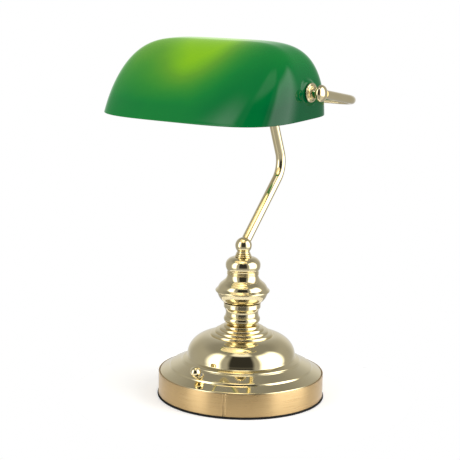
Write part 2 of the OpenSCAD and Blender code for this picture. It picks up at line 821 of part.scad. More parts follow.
module earth_screw() {
    at = [28, (weight_r + cover_r - sheet_t) / 2 - 5];
    color(steel) translate([at[0], at[1], floor_z]) {
        difference() {
            cylinder(r = 5, h = 0.8);
            translate([6, 0, 0]) cylinder(r = 2, h = 2, center = true);
        }
        translate([0, 0, 0.8]) turned(arc([0, 0], [3.6, 2.4], 0, 90, 6));
    }
}

// Flex that runs inside the tie tube, the stem and the right half of the yoke
module inner_flex() {
    $fn = 24;
    kink_r = flex_r + 0.3;
    foot_z = rod_foot_z + 1;
    color(black) {
        translate([0, 0, foot_z]) cylinder(r = flex_r, h = ball_z - foot_z);
        translate([0, 0, ball_z]) sphere(r = kink_r);
        stem_run(flex_r, 0, 0);
        leg(along(tee_at, 180 - end_lean, tee_depth), -end_lean, tee_depth, flex_r);
        translate([0, tee_at[0], tee_at[1]]) sphere(r = kink_r);
        in_yoke() yoke_run(flex_r, 0, [1], 0);
        on_pivot(yoke_half) sphere(r = kink_r);
        on_pivot(holder_x - 9) cylinder(r = flex_r, h = yoke_half - holder_x + 9);
    }
}

foot_pad();
base_plate();
base_weight();
base_band();
base_cover();
tie_tube();
tie_nut();
tie_washer();
spacer_sleeve();
column_vase();
column_bowl();
column_bell();
column_ring();
column_shoulder();
column_collar();
finial_ball();
stem_tube();
yoke_tee();
yoke_tube();
yoke_knob(-1);  // yoke_knob_left
yoke_knob(1);  // yoke_knob_right
spindle(-1, stack_x - 5);  // spindle_left
spindle(1, holder_x - 9);  // spindle_right
rosette(-1);  // rosette_left
rosette(1);  // rosette_right
gasket(-1);  // gasket_left
gasket(1);  // gasket_right
pivot_washer(-1);  // washer_left
pivot_washer(1);  // washer_right
pivot_nut(-1);  // nut_left
pivot_nut(1);  // nut_right
spindle_cap();
shade();
holder_cap();
holder_core();
holder_contacts();
holder_skirt();
bulb_cap();
bulb_contact();
bulb_glass();
switch_body();
switch_bush();
switch_nut();
switch_pin();
switch_lever();
lever_ball();
cord_grommet();
terminal_block();
earth_screw();
inner_flex();
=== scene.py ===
import json
import math

import bmesh
import bpy
from mathutils import Matrix, Vector


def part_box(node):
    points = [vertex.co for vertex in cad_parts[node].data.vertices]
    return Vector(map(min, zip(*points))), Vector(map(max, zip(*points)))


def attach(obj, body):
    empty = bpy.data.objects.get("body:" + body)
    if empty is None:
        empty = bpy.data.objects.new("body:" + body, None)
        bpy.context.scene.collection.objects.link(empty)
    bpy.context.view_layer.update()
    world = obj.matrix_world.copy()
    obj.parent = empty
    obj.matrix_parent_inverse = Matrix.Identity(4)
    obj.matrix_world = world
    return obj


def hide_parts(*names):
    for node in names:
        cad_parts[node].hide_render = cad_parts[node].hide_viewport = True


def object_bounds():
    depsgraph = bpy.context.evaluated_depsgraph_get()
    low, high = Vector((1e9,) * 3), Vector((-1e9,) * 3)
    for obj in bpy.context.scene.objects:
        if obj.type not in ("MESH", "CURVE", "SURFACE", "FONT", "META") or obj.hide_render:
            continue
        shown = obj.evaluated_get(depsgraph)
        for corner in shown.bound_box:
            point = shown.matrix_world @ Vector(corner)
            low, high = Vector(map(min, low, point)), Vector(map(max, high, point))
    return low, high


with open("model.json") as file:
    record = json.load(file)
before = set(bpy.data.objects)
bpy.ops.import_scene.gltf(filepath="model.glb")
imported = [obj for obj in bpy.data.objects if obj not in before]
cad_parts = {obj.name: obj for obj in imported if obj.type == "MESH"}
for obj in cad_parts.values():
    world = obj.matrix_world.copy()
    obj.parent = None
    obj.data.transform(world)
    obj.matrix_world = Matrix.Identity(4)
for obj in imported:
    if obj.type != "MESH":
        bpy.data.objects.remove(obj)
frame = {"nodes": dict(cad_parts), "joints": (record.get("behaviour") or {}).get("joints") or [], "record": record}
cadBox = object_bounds()
mm = 0.001
upward = Vector((0, 0, 1))
joints = {joint["name"]: joint for joint in frame["joints"]}
pivot = Vector(joints["shade_tilt"]["pos_m"]) / mm
print("frame:", len(frame["nodes"]), "nodes")


# ---- materials: every pattern runs on Object coordinates, in metres ----

def newMaterial(name):
    material = bpy.data.materials.new(name)
    material.use_nodes = True
    return material, material.node_tree.nodes["Principled BSDF"]


def addNode(material, kind, values=None, **settings):
    node = material.node_tree.nodes.new(kind)
    for key, value in settings.items():
        setattr(node, key, value)
    for key, value in (values or {}).items():
        node.inputs[key].default_value = value
    return node


def join(material, start, end):
    material.node_tree.links.new(start, end)


def objectPoints(material):
    return addNode(material, "ShaderNodeTexCoord").outputs["Object"]


def noiseOf(material, points, scale, detail=3.0, rough=0.5):
    values = {"Scale": scale, "Detail": detail, "Roughness": rough}
    noise = addNode(material, "ShaderNodeTexNoise", values)
    join(material, points, noise.inputs["Vector"])
    return noise.outputs["Fac"]


def rampOf(material, factor, stops):
    ramp = addNode(material, "ShaderNodeValToRGB")
    elements = ramp.color_ramp.elements
    while len(elements) < len(stops):
        elements.new(0.5)
    for element, (place, colour) in zip(elements, stops):
        element.position = place
        element.color = (*colour, 1)
    join(material, factor, ramp.inputs["Fac"])
    return ramp.outputs["Color"]


def rangeOf(material, factor, low, high, fromLow=0.0, fromHigh=1.0, shape="LINEAR"):
    values = {"From Min": fromLow, "From Max": fromHigh, "To Min": low, "To Max": high}
    node = addNode(material, "ShaderNodeMapRange", values, interpolation_type=shape)
    join(material, factor, node.inputs["Value"])
    return node.outputs["Result"]


def mathOf(material, operation, *operands):
    node = addNode(material, "ShaderNodeMath", operation=operation)
    for socket, operand in zip(node.inputs, operands):
        if isinstance(operand, (int, float)):
            socket.default_value = operand
        else:
            join(material, operand, socket)
    return node.outputs["Value"]


def bumpOf(material, shader, height, strength, distance):
    values = {"Strength": strength, "Distance": distance}
    bump = addNode(material, "ShaderNodeBump", values)
    join(material, height, bump.inputs["Height"])
    join(material, bump.outputs["Normal"], shader.inputs["Normal"])


def setShader(shader, **values):
    for key, value in values.items():
        shader.inputs[key.replace("_", " ")].default_value = value


def distanceFrom(material, place):
    points = objectPoints(material)
    distance = addNode(material, "ShaderNodeVectorMath", operation="DISTANCE")
    distance.inputs[1].default_value = place
    join(material, points, distance.inputs[0])
    return distance.outputs["Value"]


def metal(name, light, deep, smooth, rough, lacquer=0.0, ripple=0.04):
    material, shader = newMaterial(name)
    points = objectPoints(material)
    join(material, rampOf(material, noiseOf(material, points, 34, 4), [(0.3, deep), (0.72, light)]),
         shader.inputs["Base Color"])
    join(material, rangeOf(material, noiseOf(material, points, 420, 5, 0.65), smooth, rough, 0.3, 0.75),
         shader.inputs["Roughness"])
    bumpOf(material, shader, noiseOf(material, points, 260, 3), ripple, 0.0002)
    setShader(shader, Metallic=1.0, Coat_Weight=lacquer, Coat_Roughness=0.03)
    return material


def polishedBrassMaterial():
    return metal("polishedBrass", (0.85, 0.745, 0.47), (0.80, 0.68, 0.40), 0.035, 0.075, 0.12, 0.02)


def brushedBrassMaterial():
    # fine lines run round the band, so the pattern is stretched along the angle
    material, shader = newMaterial("brushedBrass")
    split = addNode(material, "ShaderNodeSeparateXYZ")
    join(material, objectPoints(material), split.inputs["Vector"])
    angle = mathOf(material, "ARCTAN2", split.outputs["Y"], split.outputs["X"])
    wrapped = addNode(material, "ShaderNodeCombineXYZ")
    join(material, mathOf(material, "MULTIPLY", angle, 1.6), wrapped.inputs["X"])
    join(material, mathOf(material, "MULTIPLY", split.outputs["Z"], 900.0), wrapped.inputs["Y"])
    lines = noiseOf(material, wrapped.outputs["Vector"], 1.4, 6, 0.7)
    join(material, rampOf(material, lines, [(0.3, (0.50, 0.34, 0.155)), (0.75, (0.61, 0.44, 0.225))]),
         shader.inputs["Base Color"])
    join(material, rangeOf(material, lines, 0.24, 0.42, 0.3, 0.75), shader.inputs["Roughness"])
    bumpOf(material, shader, lines, 0.25, 0.0001)
    setShader(shader, Metallic=1.0, Anisotropic=0.85, Anisotropic_Rotation=0.25)
    tangent = addNode(material, "ShaderNodeTangent", direction_type="RADIAL", axis="Z")
    join(material, tangent.outputs["Tangent"], shader.inputs["Tangent"])
    return material


def plainMaterial(name, light, deep, smooth, rough, scale=300, bump=0.1, **values):
    material, shader = newMaterial(name)
    points = objectPoints(material)
    noise = noiseOf(material, points, scale, 4, 0.6)
    join(material, rampOf(material, noise, [(0.3, deep), (0.7, light)]), shader.inputs["Base Color"])
    join(material, rangeOf(material, noiseOf(material, points, scale * 2.3), smooth, rough, 0.3, 0.7),
         shader.inputs["Roughness"])
    bumpOf(material, shader, noise, bump, 0.0002)
    setShader(shader, **values)
    return material


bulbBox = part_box("bulb_glass")
bulbCentre = Vector((bulbBox[0].x + (bulbBox[1].z - bulbBox[0].z) / 2, pivot.y * mm, pivot.z * mm))
# numbers for the painted glow given off by the glass shade and its lining, and for the painted shadow of the
# lampholder on the glass
glow = dict(
    low=0.300, high=0.358, lowShare=0.25, highShare=0.84, leftEnd=-0.012, rightEnd=0.085, rightShare=0.34,
    streak=0.34, halfWidth=0.060, slant=0.3, emission=0.80, near=0.036, far=0.150,
    streakTop=0.345, streakPlace=0.002, reachLow=0.298, reachHigh=0.338, cloud=0.03,
    holderLow=0.085, holderHigh=0.103, holderShade=0.12, base=0.32,
    # colours of the shade's painted glow, from its darkest, shaded end to its brightest patch
    shadeStops=[(0.0, (0.0, 0.085, 0.024)), (0.08, (0.0, 0.135, 0.030)), (0.18, (0.0, 0.165, 0.030)),
                (0.30, (0.004, 0.20, 0.030)), (0.45, (0.022, 0.236, 0.027)), (0.6, (0.052, 0.275, 0.024)),
                (0.76, (0.105, 0.325, 0.020)), (0.9, (0.175, 0.44, 0.012)), (1.0, (0.225, 0.50, 0.006))],
    liningGlowStops=[(0.0, (1.0, 0.93, 0.76)), (0.4, (0.80, 0.74, 0.60)), (1.0, (0.42, 0.42, 0.36))],
)


def casedGreenMaterial():
    # green glass over opal, its colour painted light given off as emission: painted glow brighter towards the top and
    # the left end, a brightest slanted painted glow patch by the bulb, and a painted shadow of the lampholder at the
    # right end
    material, shader = newMaterial("casedGreenGlass")
    points = objectPoints(material)
    split = addNode(material, "ShaderNodeSeparateXYZ")
    join(material, points, split.inputs["Vector"])
    x, z = split.outputs["X"], split.outputs["Z"]
    # painted light: brighter towards the top, and brighter towards the left end
    rise = rangeOf(material, z, glow["lowShare"], glow["highShare"], glow["low"], glow["high"])
    side = rangeOf(material, x, 1.0, glow["rightShare"], glow["leftEnd"], glow["rightEnd"], "SMOOTHSTEP")
    # a painted slanted glow patch above the bulb, fading out lower down
    below = mathOf(material, "SUBTRACT", glow["streakTop"], z)
    fromStreak = mathOf(material, "ADD", x, mathOf(material, "MULTIPLY", below, glow["slant"]))
    across = mathOf(material, "ABSOLUTE", mathOf(material, "SUBTRACT", fromStreak, glow["streakPlace"]))
    paintedGlowPatch = rangeOf(material, across, glow["streak"], 0.0, 0.0, glow["halfWidth"], "SMOOTHSTEP")
    reach = rangeOf(material, z, 0.0, 1.0, glow["reachLow"], glow["reachHigh"], "SMOOTHSTEP")
    share = mathOf(material, "ADD", mathOf(material, "MULTIPLY", rise, side),
                   mathOf(material, "MULTIPLY", paintedGlowPatch, reach))
    cloud = rangeOf(material, noiseOf(material, points, 24, 3), -glow["cloud"], glow["cloud"], 0.3, 0.7)
    # painted shadow of the lampholder: the glass turns darker towards its right end
    paintedHolderShadow = rangeOf(material, x, 0.0, glow["holderShade"], glow["holderLow"], glow["holderHigh"], "SMOOTHSTEP")
    share = mathOf(material, "SUBTRACT", mathOf(material, "ADD", share, cloud), paintedHolderShadow)
    colour = rampOf(material, share, glow["shadeStops"])
    # a dim base colour under the emitted one, so that the painted glow sets nearly all of the colour
    darker = addNode(material, "ShaderNodeVectorMath", operation="SCALE")
    darker.inputs["Scale"].default_value = glow["base"]
    join(material, colour, darker.inputs[0])
    join(material, darker.outputs["Vector"], shader.inputs["Base Color"])
    # the painted light is given off as emission, so the glass glows with it
    join(material, colour, shader.inputs["Emission Color"])
    join(material, rangeOf(material, noiseOf(material, points, 500), 0.05, 0.09, 0.3, 0.7),
         shader.inputs["Roughness"])
    bumpOf(material, shader, noiseOf(material, points, 60, 2), 0.05, 0.0004)
    setShader(shader, IOR=1.5, Specular_IOR_Level=0.27, Emission_Strength=glow["emission"])
    return material


def opalLiningMaterial():
    material, shader = newMaterial("opalLining")
    # painted glow given off by the lining, brightest near the bulb and fading with distance from it
    share = rangeOf(material, distanceFrom(material, bulbCentre), 0.0, 1.0, glow["near"], glow["far"])
    colour = rampOf(material, share, glow["liningGlowStops"])
    join(material, colour, shader.inputs["Base Color"])
    join(material, colour, shader.inputs["Emission Color"])
    bumpOf(material, shader, noiseOf(material, objectPoints(material), 90), 0.06, 0.0003)
    setShader(shader, Roughness=0.2, Emission_Strength=0.5)
    return material


def litOpalMaterial():
    material, shader = newMaterial("litOpalBulb")
    noise = noiseOf(material, objectPoints(material), 60)
    warm = rampOf(material, noise, [(0.3, (1.0, 0.84, 0.6)), (0.7, (1.0, 0.9, 0.7))])
    join(material, warm, shader.inputs["Base Color"])
    join(material, warm, shader.inputs["Emission Color"])
    setShader(shader, Roughness=0.25, Emission_Strength=2.4)
    return material


finishes = {
    "polished_brass": polishedBrassMaterial(),
    "brushed_brass": brushedBrassMaterial(),
    "plated_steel": metal("zincPlatedSteel", (0.70, 0.71, 0.73), (0.55, 0.56, 0.59), 0.22, 0.4, 0.0, 0.1),
    "cast_iron": plainMaterial("rawCastIron", (0.16, 0.16, 0.17), (0.07, 0.07, 0.075), 0.55, 0.8, 220, 0.5,
                               Metallic=0.7),
    "rubber": plainMaterial("blackRubber", (0.012, 0.012, 0.013), (0.006, 0.006, 0.006), 0.6, 0.8, 900, 0.3,
                            Specular_IOR_Level=0.2),
    "green_glass": casedGreenMaterial(),
    "opal_glass": litOpalMaterial(),
    "ivory_plastic": plainMaterial("ivoryPlastic", (0.78, 0.74, 0.62), (0.70, 0.66, 0.54), 0.25, 0.4, 700, 0.05,
                                   IOR=1.5),
    "porcelain": plainMaterial("glazedPorcelain", (0.90, 0.90, 0.87), (0.82, 0.82, 0.79), 0.08, 0.2, 120, 0.05,
                               Coat_Weight=0.5),
    "black_glass": plainMaterial("blackGlass", (0.02, 0.02, 0.022), (0.008, 0.008, 0.01), 0.06, 0.15, 300, 0.04),
    "switch_plastic": plainMaterial("blueBlackPlastic", (0.05, 0.07, 0.13), (0.03, 0.04, 0.09), 0.4, 0.55, 800, 0.1),
    "flex_sheath": plainMaterial("flexSheath", (0.05, 0.05, 0.05), (0.03, 0.03, 0.03), 0.4, 0.55, 600, 0.1),
}
opalLining = opalLiningMaterial()
slotOfNode = {part["node"]: part["material_slot"] for part in frame["record"]["subparts"]}
for nodeName, node in frame["nodes"].items():
    node.data.materials.clear()
    node.data.materials.append(finishes[slotOfNode[nodeName]])
print("materials:", len(finishes) + 1)


# ---- shapes turned on a lathe: outlines are (radius, height) in millimetres ----

def arc(centre, radii, start, stop, steps=16):
    turns = [math.radians(start + (stop - start) * k / steps) for k in range(steps + 1)]
    return [(centre[0] + radii[0] * math.cos(a), centre[1] + radii[1] * math.sin(a)) for a in turns]


def eased(outline, fillet):
    # rounds each real corner, then keeps flat stretches flat with a point near each of their ends
    soft = []
    for i, corner in enumerate(outline):
        here = Vector(corner)
        back = Vector(outline[i - 1]) - here
        ahead = Vector(outline[(i + 1) % len(outline)]) - here
        if back.length < 1e-5 or ahead.length < 1e-5:
            continue
        bend = math.pi - back.angle(ahead)
        if bend < math.radians(16) or here.x < 1e-5:
            soft.append(here)
            continue
        reach = min(fillet * math.tan(bend / 2), 0.42 * back.length, 0.42 * ahead.length)
        start = here + back.normalized() * reach
        stop = here + ahead.normalized() * reach
        steps = max(3, round(math.degrees(bend) / 14))
        for k in range(steps + 1):
            t = k / steps
            soft.append(start * (1 - t) ** 2 + here * 2 * t * (1 - t) + stop * t ** 2)
    even = []
    for i, here in enumerate(soft):
        even.append(here)
        ahead = soft[(i + 1) % len(soft)] - here
        margin = 0.2
        if ahead.length > 5 * margin and (here.x > 1e-5 or soft[(i + 1) % len(soft)].x > 1e-5):
            even.append(here + ahead * (margin / ahead.length))
            even.append(here + ahead * (1 - margin / ahead.length))
    return even


def pieceFrom(name, vertices, faces, materials):
    mesh = bpy.data.meshes.new(name)
    mesh.from_pydata([tuple(Vector(v) * mm) for v in vertices], [], faces)
    work = bmesh.new()
    work.from_mesh(mesh)
    bmesh.ops.remove_doubles(work, verts=work.verts, dist=1e-7)
    bmesh.ops.recalc_face_normals(work, faces=work.faces)
    work.to_mesh(mesh)
    work.free()
    for material in materials:
        mesh.materials.append(material)
    mesh.shade_smooth()
    piece = bpy.data.objects.new(name, mesh)
    bpy.context.scene.collection.objects.link(piece)
    return piece


def spun(name, outline, place, axis, finish, sides=128, fillet=0.25):
    # a closed outline, turned round the axis that starts at place
    turn = upward.rotation_difference(Vector(axis))
    outline = eased(outline, fillet)
    vertices, rings = [], []
    for radius, height in outline:
        count = 1 if radius < 1e-5 else sides
        rings.append(range(len(vertices), len(vertices) + count))
        for k in range(count):
            a = 2 * math.pi * k / sides
            local = Vector((radius * math.cos(a), radius * math.sin(a), height))
            vertices.append(Vector(place) + turn @ local)
    faces = []
    for i, ring in enumerate(rings):
        above = rings[(i + 1) % len(rings)]
        if len(ring) == 1 and len(above) == 1:
            continue
        for k in range(sides):
            n = (k + 1) % sides
            corners = [ring[k % len(ring)], ring[n % len(ring)], above[n % len(above)], above[k % len(above)]]
            faces.append(list(dict.fromkeys(corners)))
    return pieceFrom(name, vertices, faces, [finishes[finish]])


def drilled(piece, place, axis, radius, depth):
    # a round hole along an axis, in millimetres
    turn = upward.rotation_difference(Vector(axis)).to_euler()
    bpy.ops.mesh.primitive_cylinder_add(vertices=64, radius=radius * mm, depth=depth * mm,
                                        location=Vector(place) * mm, rotation=turn)
    cutter = bpy.context.object
    cut = piece.modifiers.new("hole", "BOOLEAN")
    cut.operation = "DIFFERENCE"
    cut.solver = "EXACT"
    cut.object = cutter
    bpy.context.view_layer.update()
    evaluated = piece.evaluated_get(bpy.context.evaluated_depsgraph_get())
    mesh = bpy.data.meshes.new_from_object(evaluated)
    piece.modifiers.remove(cut)
    piece.data = mesh
    bpy.data.objects.remove(cutter)


def settle(piece, body, slotName, *nodes):
    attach(piece, body)
    if nodes:
        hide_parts(*nodes)
    return piece


def spanOf(node):
    low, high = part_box(node)
    return low.z / mm, (high.z - low.z) / mm


def smoothCopy(node, name, body, sharp=30, bevel=0.0):
    # the same shape, with its loose triangles merged and its round faces shaded smooth
    mesh = frame["nodes"][node].data.copy()
    work = bmesh.new()
    work.from_mesh(mesh)
    bmesh.ops.remove_doubles(work, verts=work.verts, dist=2e-6)
    bmesh.ops.dissolve_limit(work, angle_limit=0.002, verts=work.verts, edges=work.edges)
    work.to_mesh(mesh)
    work.free()
    mesh.shade_smooth()
    mesh.set_sharp_from_angle(angle=math.radians(sharp))
    piece = bpy.data.objects.new(name, mesh)
    bpy.context.scene.collection.objects.link(piece)
    if bevel > 0:
        rounding = piece.modifiers.new("rounding", "BEVEL")
        rounding.width = bevel * mm
        rounding.segments = 2
        rounding.limit_method = "ANGLE"
        rounding.angle_limit = math.radians(sharp)
    return settle(piece, body, slotOfNode[node], node)


# ---- geometry nodes ----

def newTree(name, inputs):
    tree = bpy.data.node_groups.new(name, "GeometryNodeTree")
    for label, kind in inputs:
        tree.interface.new_socket(label, in_out="INPUT", socket_type=kind)
    tree.interface.new_socket("Geometry", in_out="OUTPUT", socket_type="NodeSocketGeometry")
    return tree, tree.nodes.new("NodeGroupInput"), tree.nodes.new("NodeGroupOutput")


def closeTree(tree, entry, exitNode, geometry):
    realize = tree.nodes.new("GeometryNodeRealizeInstances")
    smooth = tree.nodes.new("GeometryNodeSetShadeSmooth")
    paint = tree.nodes.new("GeometryNodeSetMaterial")
    tree.links.new(geometry, smooth.inputs["Geometry"])
    tree.links.new(smooth.outputs["Geometry"], realize.inputs["Geometry"])
    tree.links.new(realize.outputs["Geometry"], paint.inputs["Geometry"])
    tree.links.new(entry.outputs["Finish"], paint.inputs["Material"])
    tree.links.new(paint.outputs["Geometry"], exitNode.inputs["Geometry"])
    return tree


def tubeTree():
    tree, entry, exitNode = newTree("tubeAlongPath", [
        ("Geometry", "NodeSocketGeometry"), ("Tube radius", "NodeSocketFloat"),
        ("Sides", "NodeSocketInt"), ("Finish", "NodeSocketMaterial")])
    path = tree.nodes.new("GeometryNodeMeshToCurve")
    ring = tree.nodes.new("GeometryNodeCurvePrimitiveCircle")
    sweep = tree.nodes.new("GeometryNodeCurveToMesh")
    sweep.inputs["Fill Caps"].default_value = True
    tree.links.new(entry.outputs["Geometry"], path.inputs["Mesh"])
    tree.links.new(entry.outputs["Tube radius"], ring.inputs["Radius"])
    tree.links.new(entry.outputs["Sides"], ring.inputs["Resolution"])
    tree.links.new(path.outputs["Curve"], sweep.inputs["Curve"])
    tree.links.new(ring.outputs["Curve"], sweep.inputs["Profile Curve"])
    return closeTree(tree, entry, exitNode, sweep.outputs["Mesh"])


def ringTree():
    # the same thin ring, repeated along +Z
    tree, entry, exitNode = newTree("ringsAlongAxis", [
        ("Geometry", "NodeSocketGeometry"), ("Count", "NodeSocketInt"), ("Spacing", "NodeSocketVector"),
        ("Ring radius", "NodeSocketFloat"), ("Rib radius", "NodeSocketFloat"), ("Finish", "NodeSocketMaterial")])
    line = tree.nodes.new("GeometryNodeMeshLine")
    large = tree.nodes.new("GeometryNodeCurvePrimitiveCircle")
    small = tree.nodes.new("GeometryNodeCurvePrimitiveCircle")
    large.inputs["Resolution"].default_value = 96
    small.inputs["Resolution"].default_value = 14
    sweep = tree.nodes.new("GeometryNodeCurveToMesh")
    scatter = tree.nodes.new("GeometryNodeInstanceOnPoints")
    tree.links.new(entry.outputs["Count"], line.inputs["Count"])
    tree.links.new(entry.outputs["Spacing"], line.inputs["Offset"])
    tree.links.new(entry.outputs["Ring radius"], large.inputs["Radius"])
    tree.links.new(entry.outputs["Rib radius"], small.inputs["Radius"])
    tree.links.new(large.outputs["Curve"], sweep.inputs["Curve"])
    tree.links.new(small.outputs["Curve"], sweep.inputs["Profile Curve"])
    tree.links.new(line.outputs["Mesh"], scatter.inputs["Points"])
    tree.links.new(sweep.outputs["Mesh"], scatter.inputs["Instance"])
    return closeTree(tree, entry, exitNode, scatter.outputs["Instances"])


def toothTree():
    # small teeth round a ring, each one facing outwards
    tree, entry, exitNode = newTree("teethRoundRing", [
        ("Geometry", "NodeSocketGeometry"), ("Count", "NodeSocketInt"), ("Ring radius", "NodeSocketFloat"),
        ("Tooth size", "NodeSocketVector"), ("Finish", "NodeSocketMaterial")])
    ring = tree.nodes.new("GeometryNodeMeshCircle")
    tooth = tree.nodes.new("GeometryNodeMeshCube")
    place = tree.nodes.new("GeometryNodeInputPosition")
    face = tree.nodes.new("FunctionNodeAlignRotationToVector")
    face.axis = "X"
    scatter = tree.nodes.new("GeometryNodeInstanceOnPoints")
    tree.links.new(entry.outputs["Count"], ring.inputs["Vertices"])
    tree.links.new(entry.outputs["Ring radius"], ring.inputs["Radius"])
    tree.links.new(entry.outputs["Tooth size"], tooth.inputs["Size"])
    tree.links.new(place.outputs["Position"], face.inputs["Vector"])
    tree.links.new(ring.outputs["Mesh"], scatter.inputs["Points"])
    tree.links.new(tooth.outputs["Mesh"], scatter.inputs["Instance"])
    tree.links.new(face.outputs["Rotation"], scatter.inputs["Rotation"])
    return closeTree(tree, entry, exitNode, scatter.outputs["Instances"])


def grown(name, tree, inputs, path=(), place=None):
    # runs a tree on a path of points in millimetres, and keeps the result as a plain mesh
    seed = bpy.data.meshes.new(name + "Seed")
    seed.from_pydata([tuple(Vector(p) * mm) for p in path], [(i, i + 1) for i in range(len(path) - 1)], [])
    holder = bpy.data.objects.new(name + "Seed", seed)
    bpy.context.scene.collection.objects.link(holder)
    modifier = holder.modifiers.new("grow", "NODES")
    modifier.node_group = tree
    for item in tree.interface.items_tree:
        if item.item_type == "SOCKET" and item.in_out == "INPUT" and item.name in inputs:
            modifier[item.identifier] = inputs[item.name]
    bpy.context.view_layer.update()
    evaluated = holder.evaluated_get(bpy.context.evaluated_depsgraph_get())
    mesh = bpy.data.meshes.new_from_object(evaluated)
    holder.modifiers.remove(modifier)
    bpy.data.objects.remove(holder)
    if place is not None:
        mesh.transform(place)
    work = bmesh.new()
    work.from_mesh(mesh)
    bmesh.ops.recalc_face_normals(work, faces=work.faces)
    work.to_mesh(mesh)
    work.free()
    mesh.name = name
    piece = bpy.data.objects.new(name, mesh)
    bpy.context.scene.collection.objects.link(piece)
    return piece


# ---- base ----

pad = dict(round=0.7, grooves=5, grooveStep=13.0, grooveDepth=0.5, grooveWidth=1.6)
band = dict(wall=1.2, lip=0.5, seamAngle=25.0, seamWidth=1.0, seamDepth=0.35, sides=360, inletRadius=5.0)
cover = dict(sheet=1.2, step=71.5, stepRise=6.8, ledge=59.3, ledgeRise=6.5, dome=54.3, domeRise=21.0,
             crown=32.0, rings=4, ringIn=4.4, ringRise=2.75, hole=5.1)


def footPad():
    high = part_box("foot_pad")[1]
    radius, height = high.x / mm, high.z / mm
    under = []
    for k in range(pad["grooves"]):
        r = 14 + k * pad["grooveStep"]
        under += [(r, 0), (r, pad["grooveDepth"]), (r + pad["grooveWidth"], pad["grooveDepth"]),
                  (r + pad["grooveWidth"], 0)]
    outline = [(0, 0), *under, (radius, 0), (radius, height), (0, height)]
    piece = spun("footPad", outline, (0, 0, 0), upward, "rubber", 192, pad["round"])
    settle(piece, "stand", "rubber", "foot_pad")


def baseCover():
    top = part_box("base_band")[1].z / mm
    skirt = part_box("base_cover")[1].x / mm
    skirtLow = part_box("base_cover")[0].z / mm
    stepZ = top + cover["stepRise"]
    ledgeZ = stepZ + cover["ledgeRise"]
    domeZ = ledgeZ + 3.8
    crownZ = domeZ + cover["domeRise"] - 0.4
    treadR, treadZ = cover["ledge"] + 0.9, ledgeZ - 2

    def sheet(t):
        rings = []
        for i in range(cover["rings"]):
            r = cover["crown"] - 0.5 - i * cover["ringIn"]
            z = crownZ + 0.2 + i * cover["ringRise"]
            rings += [(r - t, z - t)]
            rings += arc((r - 1.3 - t, z + 0.9 - t), (1.3, 1.3), -10, 84, 8)
            rings += [(r - cover["ringIn"] + 0.5 - t, z + cover["ringRise"] - t)]
        return [
            (skirt - t, skirtLow), *arc((skirt - 2 - t, top - 1.1 - t), (2, 2), 0, 64, 14),
            (cover["step"] + 1.6 - t, stepZ - 2.6 - t),
            *arc((cover["step"] - 1.8 - t, stepZ - 2 - t), (2.4, 2.4), 0, 76, 16),
            (treadR + 0.6 - t, treadZ - t), (treadR - t, treadZ + 0.8 - t),
            *arc((cover["ledge"] - 1.8 - t, ledgeZ - 1.7 - t), (2.2, 2.2), 20, 72, 12),
            (cover["dome"] + 0.9 - t, domeZ - 2.2 - t), (cover["dome"] + 0.1 - t, domeZ - 1.4 - t),
            *arc((cover["crown"] - 2 - t, domeZ - t), (cover["dome"] - cover["crown"] + 2, cover["domeRise"]),
                 0, 84, 40),
            *rings]

    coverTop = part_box("base_cover")[1].z / mm
    outer, inner = sheet(0), sheet(cover["sheet"])
    outline = [*outer, (cover["hole"], coverTop), (cover["hole"], coverTop - cover["sheet"]), *reversed(inner)]
    piece = spun("baseCover", outline, (0, 0, 0), upward, "polished_brass", 192, 0.6)
    settle(piece, "stand", "polished_brass", "base_cover")


def baseBand():
    low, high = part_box("base_band")
    radius, foot, top = high.x / mm, low.z / mm, high.z / mm
    lip = band["lip"]
    outline = [(radius - band["wall"], foot), (radius - 0.15, foot), (radius, foot + 0.15),
               *arc((radius - lip, top - lip), (lip, lip), 0, 180, 12), (radius - band["wall"], top - band["wall"])]
    sides = band["sides"]
    seam = math.radians(band["seamAngle"] - 90)
    step = 2 * math.pi / sides
    outline = eased(outline, 0.15)
    # ring angles bunch up at the butt seam, so that it can be a narrow groove
    halfSeam = band["seamWidth"] / 2 / radius
    angles = [seam + step * 0.5 + (2 * math.pi - step) * k / (sides - 1) for k in range(sides)]
    angles += [seam + 2 * math.pi - halfSeam * 1.6, seam + 2 * math.pi - halfSeam, seam + 2 * math.pi,
               seam + 2 * math.pi + halfSeam, seam + 2 * math.pi + halfSeam * 1.6]
    vertices, faces = [], []
    for a in angles:
        inSeam = abs(a - seam - 2 * math.pi) < halfSeam * 0.5
        for r, z in outline:
            onOuter = r > radius - 0.3
            depth = band["seamDepth"] if inSeam and onOuter else 0
            vertices.append(((r - depth) * math.cos(a), (r - depth) * math.sin(a), z))
    size, count = len(outline), len(angles)
    for i in range(count):
        for k in range(size):
            n, j = (k + 1) % size, (i + 1) % count
            faces.append((i * size + k, j * size + k, j * size + n, i * size + n))
    piece = pieceFrom("baseBand", vertices, faces, [finishes["brushed_brass"]])
    low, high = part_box("cord_grommet")
    inlet = (low + high) / 2 / mm
    drilled(piece, inlet, (0, 1, 0), band["inletRadius"], 16)
    settle(piece, "stand", "brushed_brass", "base_band")


footPad()
baseCover()
baseBand()
print("base done")


# ---- column: each piece stands on the one below ----

column = dict(hole=5.1, vase=18.3, vaseFoot=4.7, bowlTop=18.8, bowlLip=1.4, bellFlare=14.0, shoulderPole=6.2)


def columnPiece(node, name, outline, fillet=0.3):
    z, height = spanOf(node)
    closed = [*outline(z, height), (column["hole"], z + height), (column["hole"], z)]
    piece = spun(name, closed, (0, 0, 0), upward, "polished_brass", 160, fillet)
    settle(piece, "stand", "polished_brass", node)


def vaseOutline(z, h):
    widest = column["vase"]
    foot, neck = widest - column["vaseFoot"], widest - 1.9
    return [(foot, z), (foot, z + 1.3), *arc((widest - 4, z + 5.2), (4, 3.9), -85, 58, 20),
            (neck + 0.5, z + 9.3), (neck + 0.1, z + 9.7),
            *arc((neck + 10, z + 12), (10, h - 13.2), 180, 142, 16),
            (widest + 0.2, z + h - 0.8), (widest + 0.5, z + h)]


